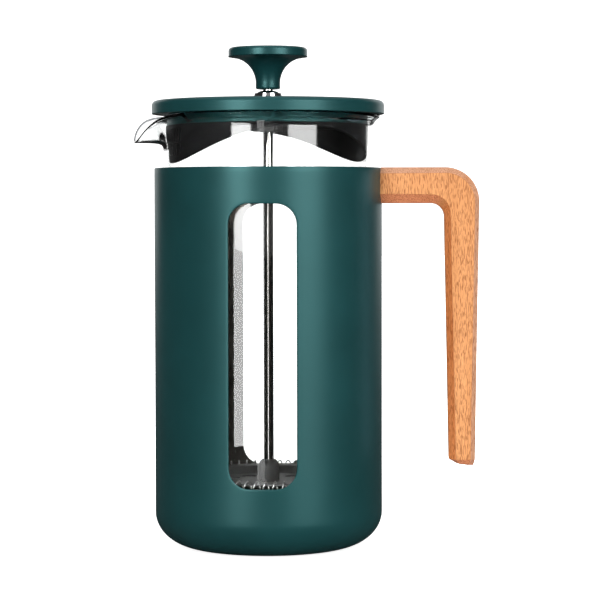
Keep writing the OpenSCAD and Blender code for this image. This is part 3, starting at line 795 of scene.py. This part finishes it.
def plunger_pieces(knob_paint, rod_steel, hub_steel, wire, weave):
    """Knob, rod, hub, coil spring and mesh."""
    disc_low, neck_top = KNOB_TOP - KNOB_DISC_H, KNOB_LOW + KNOB_NECK_H
    flare = disc_low - neck_top - 0.3
    flare_r, pocket_r, pocket_z = KNOB_NECK_R + flare, ROD_R + 1.25, KNOB_LOW + 0.5
    disc = [(0, KNOB_TOP, 0), (KNOB_R, KNOB_TOP, 1.6), (KNOB_R, disc_low, 0.6), (flare_r, disc_low, 0)]
    neck = [(KNOB_NECK_R, neck_top, 0), (KNOB_NECK_R, KNOB_LOW, 0.9)]
    pocket = [(pocket_r, KNOB_LOW, 0.1), (pocket_r, pocket_z, 0)]
    knob = [(0, KNOB_TOP)] + rounded(disc, steps=8)[1:-1]
    knob += [(flare_r + 1.2, disc_low), (flare_r, disc_low - 0.05)]
    knob += arc((flare_r, neck_top), flare, 90, 180, 24)[1:]
    knob += rounded(neck + pocket, steps=4) + [(0, pocket_z)]
    points, faces = revolved(knob, steps=144)
    weigh_normals(piece("knob_body", "plunger", points, faces, [knob_paint], ["knob"]))
    low, high = rod_box[0].z, rod_box[1].z
    rod = rounded([(0, low, 0), (ROD_R, low, 0.4), (ROD_R, high, 0.3), (0, high, 0)], steps=3)
    heights = list(np.linspace(low + 1, high - 1, 9))
    body = [p for p in rod if p[1] < low + 0.6] + [(ROD_R, z) for z in heights]
    body += [p for p in rod if p[1] > high - 0.6]
    points, faces = revolved(body, steps=48)
    piece("rod_bar", "plunger", points, faces, [rod_steel], ["plunger_rod"])
    hub = [(ROD_R, HUB_TOP), (ROD_R + 0.25, HUB_TOP)]
    hub += [
        (ROD_R + 0.25 + (HUB_R - ROD_R - 0.25) * math.sin(a), HUB_TOP - 4.6 * (1 - math.cos(a)))
        for a in np.linspace(0, math.pi / 2, 14)[1:]
    ]
    hub += rounded([(HUB_R, HUB_TOP - 5, 0), (HUB_R, HUB_LOW, 0.3), (ROD_R, HUB_LOW, 0)], steps=3)
    points, faces = revolved(hub, closed=True, steps=72)
    piece("hub_cap", "plunger", points, faces, [hub_steel], ["hub_dome"])
    # One long coil bent into a ring
    count = SPRING_TURNS * RINGS_PER_TURN
    up = np.array([0, 0, 1.0])
    round_wire = np.linspace(0, 2 * math.pi, WIRE_SIDES, endpoint=False)
    rings = []
    for i in range(count):
        a = 2 * math.pi * i / count
        b = a * SPRING_TURNS
        radial = np.array([math.cos(a), math.sin(a), 0.0])
        tangent = np.array([-math.sin(a), math.cos(a), 0.0])
        centre = radial * (SPRING_R + COIL_R * math.cos(b)) + up * (SPRING_Z + COIL_R * math.sin(b))
        forward = tangent * (SPRING_R / SPRING_TURNS) + (-radial * math.sin(b) + up * math.cos(b)) * COIL_R
        forward /= np.linalg.norm(forward)
        first = radial * math.cos(b) + up * math.sin(b)
        second = np.cross(forward, first)
        rings.append([centre + WIRE_R * (math.cos(c) * first + math.sin(c) * second) for c in round_wire])
    points, faces = swept(rings, closed_path=True)
    piece("coil_spring", "plunger", points, faces, [wire], ["spiral_spring"], sharp=80)
    mesh_low, mesh_high = span("filter_mesh")
    disc = rounded(
        [
            (ROD_R, mesh_high.z, 0),
            (mesh_high.x, mesh_high.z, 0.1),
            (mesh_high.x, mesh_low.z, 0.1),
            (ROD_R, mesh_low.z, 0),
        ],
        steps=2,
    )
    points, faces = revolved(disc, closed=True, steps=144)
    piece("woven_disc", "plunger", points, faces, [weave], ["filter_mesh"])


# ---- Stage ----


# The floor's glow near the object and far from it, and the distances in metres between which it changes
GLOW_NEAR, GLOW_FAR = 0.85, 1.7
GLOW_FROM, GLOW_TO = 0.06, 0.4
# Lights that mirrors also see below the horizon: middle and half width in degrees from the front, level, and the
# distance from the object in metres at which they begin on the floor
WINDOW_LIGHT = (-26.5, 9.5, 13.0, 0.55)
ROD_LIGHT = (-5.0, 4.0, 4.0, 0.3)


def floor_piece():
    """A pale floor, wide enough to meet the pale backdrop. Mirrors see it dark, with two lights in it."""
    look = Look("pale_floor", (0.85, 0.85, 0.85), Roughness=0.9, Specular_IOR_Level=0.0)
    pale = look.mix(look.noise(60, 2), (0.83, 0.83, 0.83), (0.87, 0.87, 0.87))
    # It glows for the viewer, also through glass, so that it fades into the backdrop
    path = look.tree.nodes.new("ShaderNodeLightPath").outputs
    look.set("Base Color", look.mix(path["Is Glossy Ray"], pale, (0.06, 0.06, 0.06)))
    bounces = look.maths("ADD", path["Diffuse Depth"], path["Glossy Depth"])
    straight = look.maths("MULTIPLY", path["Is Transmission Ray"], look.maths("LESS_THAN", bounces, 0.5))
    seen = look.maths("MAXIMUM", path["Is Camera Ray"], straight)
    away = look.node("VectorMath", {0: look.where}, 1, operation="LENGTH")
    glow = look.spread(away, GLOW_FROM, GLOW_TO, GLOW_NEAR, GLOW_FAR)
    # The left front light carries on below the horizon for the glass, and the narrow one for the line down the rod
    x, y = (look.node("SeparateXYZ", {0: look.where}, axis) for axis in (0, 1))
    azimuth = look.maths("ARCTAN2", x, look.maths("MULTIPLY", y, -1.0))
    sharp = look.maths("MULTIPLY", path["Is Singular Ray"], look.maths("SUBTRACT", 1.0, path["Is Transmission Ray"]))
    soft = look.maths("MULTIPLY", path["Is Transmission Ray"], look.maths("GREATER_THAN", path["Glossy Depth"], 0.5))
    levels = [look.maths("MULTIPLY", seen, glow)]
    for (middle, half, level, near), rays in ((WINDOW_LIGHT, sharp), (ROD_LIGHT, soft)):
        off = look.maths("ABSOLUTE", look.maths("SUBTRACT", azimuth, math.radians(middle)))
        inside = look.maths("MULTIPLY", look.maths("LESS_THAN", off, math.radians(half)), rays)
        far = look.maths("MULTIPLY", look.maths("GREATER_THAN", away, near), level)
        levels.append(look.maths("MULTIPLY", inside, far))
    look.set("Emission Color", (1, 1, 1, 1))
    look.set("Emission Strength", look.maths("MAXIMUM", look.maths("MAXIMUM", *levels[:2]), levels[2]))
    size = 6.0
    mesh = bpy.data.meshes.new("floor")
    mesh.from_pydata([(-size, -size, 0), (size, -size, 0), (size, size, 0), (-size, size, 0)], [], [(0, 1, 2, 3)])
    mesh.materials.append(look.material)
    floor = bpy.data.objects.new("floor", mesh)
    bpy.context.scene.collection.objects.link(floor)


STUDIO_PEAK = 15.0
# Angle from the front in degrees, positive towards the handle, and the light's level there
STUDIO_ROUND = (
    (-180, 1.4),
    (-147, 1.4),
    (-140, 0.06),
    (-90, 0.03),
    (-38, 0.03),
    (-36, 14.0),
    (-17, 14.0),
    (-15, 0.4),
    (24, 0.4),
    (26, 9.0),
    (56, 9.0),
    (58, 0.1),
    (90, 0.03),
    (140, 0.06),
    (147, 1.4),
    (180, 1.4),
)
# Sine of the height above the horizon, and a share of the level round it
STUDIO_UP = (
    (-1.0, 0.04),
    (-0.45, 0.04),
    (-0.2, 0.5),
    (-0.05, 0.95),
    (0.05, 1.0),
    (0.38, 1.0),
    (0.48, 0.08),
    (1.0, 0.04),
)
# Sine of the height above the horizon, and a level that is added
STUDIO_TOP = ((-1.0, 0.1), (0.0, 0.0), (0.6, 0.0), (0.85, 0.9), (1.0, 1.1))
# The level of the white wall, and how squarely behind the object a ray bent by glass must leave to see it
WALL_GLOW, WALL_FROM = 1.6, 0.78


def studio():
    """A studio round the object: dark sides, two tall soft boxes in front, and a white wall for the viewer to see."""
    world = bpy.data.worlds.new("studio")
    bpy.context.scene.world = world
    world.use_nodes = True
    tree = world.node_tree
    tree.nodes.clear()
    link = tree.links.new

    def node(kind, **settings):
        made = tree.nodes.new("ShaderNode" + kind)
        for key, value in settings.items():
            setattr(made, key, value)
        return made

    def ramp(source, stops):
        made = node("ValToRGB")
        made.color_ramp.interpolation = "EASE"
        while len(made.color_ramp.elements) < len(stops):
            made.color_ramp.elements.new(0.5)
        for element, (place, value) in zip(made.color_ramp.elements, stops):
            element.position = place
            element.color = (value, value, value, 1)
        link(source, made.inputs[0])
        return made.outputs[0]

    def maths(operation, a, b):
        made = node("Math", operation=operation)
        for socket, value in zip(made.inputs, (a, b)):
            if isinstance(value, (int, float)):
                socket.default_value = value
            else:
                link(value, socket)
        return made.outputs[0]

    where = node("TexCoord").outputs["Generated"]
    parts = node("SeparateXYZ")
    link(where, parts.inputs[0])
    x, y, z = parts.outputs
    azimuth = maths("ARCTAN2", x, maths("MULTIPLY", y, -1.0))
    turn = maths("ADD", maths("DIVIDE", azimuth, 2 * math.pi), 0.5)
    round_ramp = ramp(turn, [((angle + 180) / 360, level / STUDIO_PEAK) for angle, level in STUDIO_ROUND])
    up_ramp = ramp(maths("ADD", maths("MULTIPLY", z, 0.5), 0.5), [((e + 1) / 2, v) for e, v in STUDIO_UP])
    level = maths("MULTIPLY", maths("MULTIPLY", round_ramp, up_ramp), STUDIO_PEAK)
    top = ramp(maths("ADD", maths("MULTIPLY", z, 0.5), 0.5), [((e + 1) / 2, v) for e, v in STUDIO_TOP])
    level = maths("ADD", level, top)
    path = node("LightPath").outputs
    # A narrow light seen only in mirrors behind glass: it makes the line down the rod
    middle, half, narrow_level, _ = ROD_LIGHT
    behind_glass = maths("MULTIPLY", path["Is Transmission Ray"], maths("GREATER_THAN", path["Glossy Depth"], 0.5))
    off = maths("ABSOLUTE", maths("SUBTRACT", azimuth, math.radians(middle)), 0)
    narrow = maths("MULTIPLY", behind_glass, maths("LESS_THAN", off, math.radians(half)))
    level = maths("ADD", level, maths("MULTIPLY", narrow, narrow_level))
    # The viewer sees the wall directly, straight through glass, and where glass bends the view but keeps it behind
    bounces = maths("ADD", path["Diffuse Depth"], path["Glossy Depth"])
    straight = maths("MULTIPLY", path["Is Transmission Ray"], maths("LESS_THAN", bounces, 0.5))
    through_glass = maths("GREATER_THAN", path["Transmission Depth"], 0.5)
    past_edge = maths("MULTIPLY", through_glass, maths("GREATER_THAN", y, WALL_FROM))
    open_view = maths("MAXIMUM", path["Is Camera Ray"], maths("MAXIMUM", straight, past_edge))
    lit, seen = node("Background"), node("Background")
    link(level, lit.inputs["Color"])
    seen.inputs["Color"].default_value = (1, 1, 1, 1)
    seen.inputs["Strength"].default_value = WALL_GLOW
    blend, out = node("MixShader"), node("OutputWorld")
    link(open_view, blend.inputs[0])
    link(lit.outputs[0], blend.inputs[1])
    link(seen.outputs[0], blend.inputs[2])
    link(blend.outputs[0], out.inputs[0])


def camera():
    """The photograph's view: a long lens a little to the handle's side, level with the arm."""
    data = bpy.data.cameras.new("camera")
    eye = bpy.data.objects.new("camera", data)
    bpy.context.scene.collection.objects.link(eye)
    bpy.context.scene.camera = eye
    focal_px, distance, height = 2338.4, 1105.9 * MM, 163.3 * MM
    around, pitch, roll = math.radians(3.04), math.radians(2.4), math.radians(-0.1)
    axis_px, middle_px = 268.4, 300
    data.sensor_width = 36.0
    data.lens = focal_px / (2 * middle_px) * data.sensor_width
    data.clip_start, data.clip_end = 0.05, 50
    eye.location = (distance * math.sin(around), -distance * math.cos(around), height)
    yaw = math.atan((axis_px - middle_px) / focal_px)
    eye.rotation_mode = "XYZ"
    eye.rotation_euler = (math.pi / 2 - pitch, 0, around + yaw)
    eye.rotation_euler.rotate_axis("Z", roll)


# ---- Assembly ----

camera()
studio()
floor_piece()

green = paint_look("green_coat", (0.0055, 0.037, 0.039), 0.37)
knob_green = paint_look("green_knob", (0.005, 0.034, 0.036), 0.34)
wood = beech_look()
glass = glass_look("clear_glass", (0.985, 0.995, 0.99))
# The spout's far lip: glass coloured near black, painted shade for its thin dark line
lip = glass_look("glass_lip_painted_dark", (0.05, 0.055, 0.06))
rim = glass_look("glass_rim", (0.93, 0.96, 0.96), 1.12)
black = plastic_look("black_plastic", (0.013, 0.013, 0.014), 0.5)
rubber = plastic_look("silicone", (0.02, 0.02, 0.02), 0.7, 0.04)
bare_steel = steel_look("bare_steel", (0.46, 0.42, 0.38), 0.30, (0.3, 0.3, 12))
steel = steel_look("stainless", (0.60, 0.60, 0.60), 0.16)
rod_steel = steel_look("polished_rod", (0.62, 0.60, 0.58), 0.06)
dull_steel = steel_look("pressed_steel", (0.3, 0.3, 0.3), 0.6, (0.4, 0.4, 0.4), 0.2)
wire = steel_look("spring_wire", (0.95, 0.95, 0.95), 0.28, (0.2, 0.2, 0.2))
chrome = steel_look("polished_chrome", (0.75, 0.75, 0.76), 0.07, (0.4, 0.4, 0.4))
brass = steel_look("brass", (0.65, 0.43, 0.14), 0.25, (0.3, 0.3, 0.3))
weave = mesh_look()

sleeve_piece(green, bare_steel)
handle_piece(wood)
glass_piece(glass, lip, rim)
lid_pieces(green, black, chrome)
plunger_pieces(knob_green, rod_steel, dull_steel, wire, weave)

for nodes, look in (
    (("base_pad", "beaker_seat"), rubber),
    (("handle_screws", "screw_washers", "cross_plate", "hub_nut"), steel),
    (("guide_nut", "spiral_plate"), dull_steel),
    (("threaded_inserts", "knob_insert"), brass),
):
    for name in nodes:
        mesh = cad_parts[name].data
        mesh.materials.clear()
        mesh.materials.append(look)

bpy.context.scene.view_settings.view_transform = "Standard"
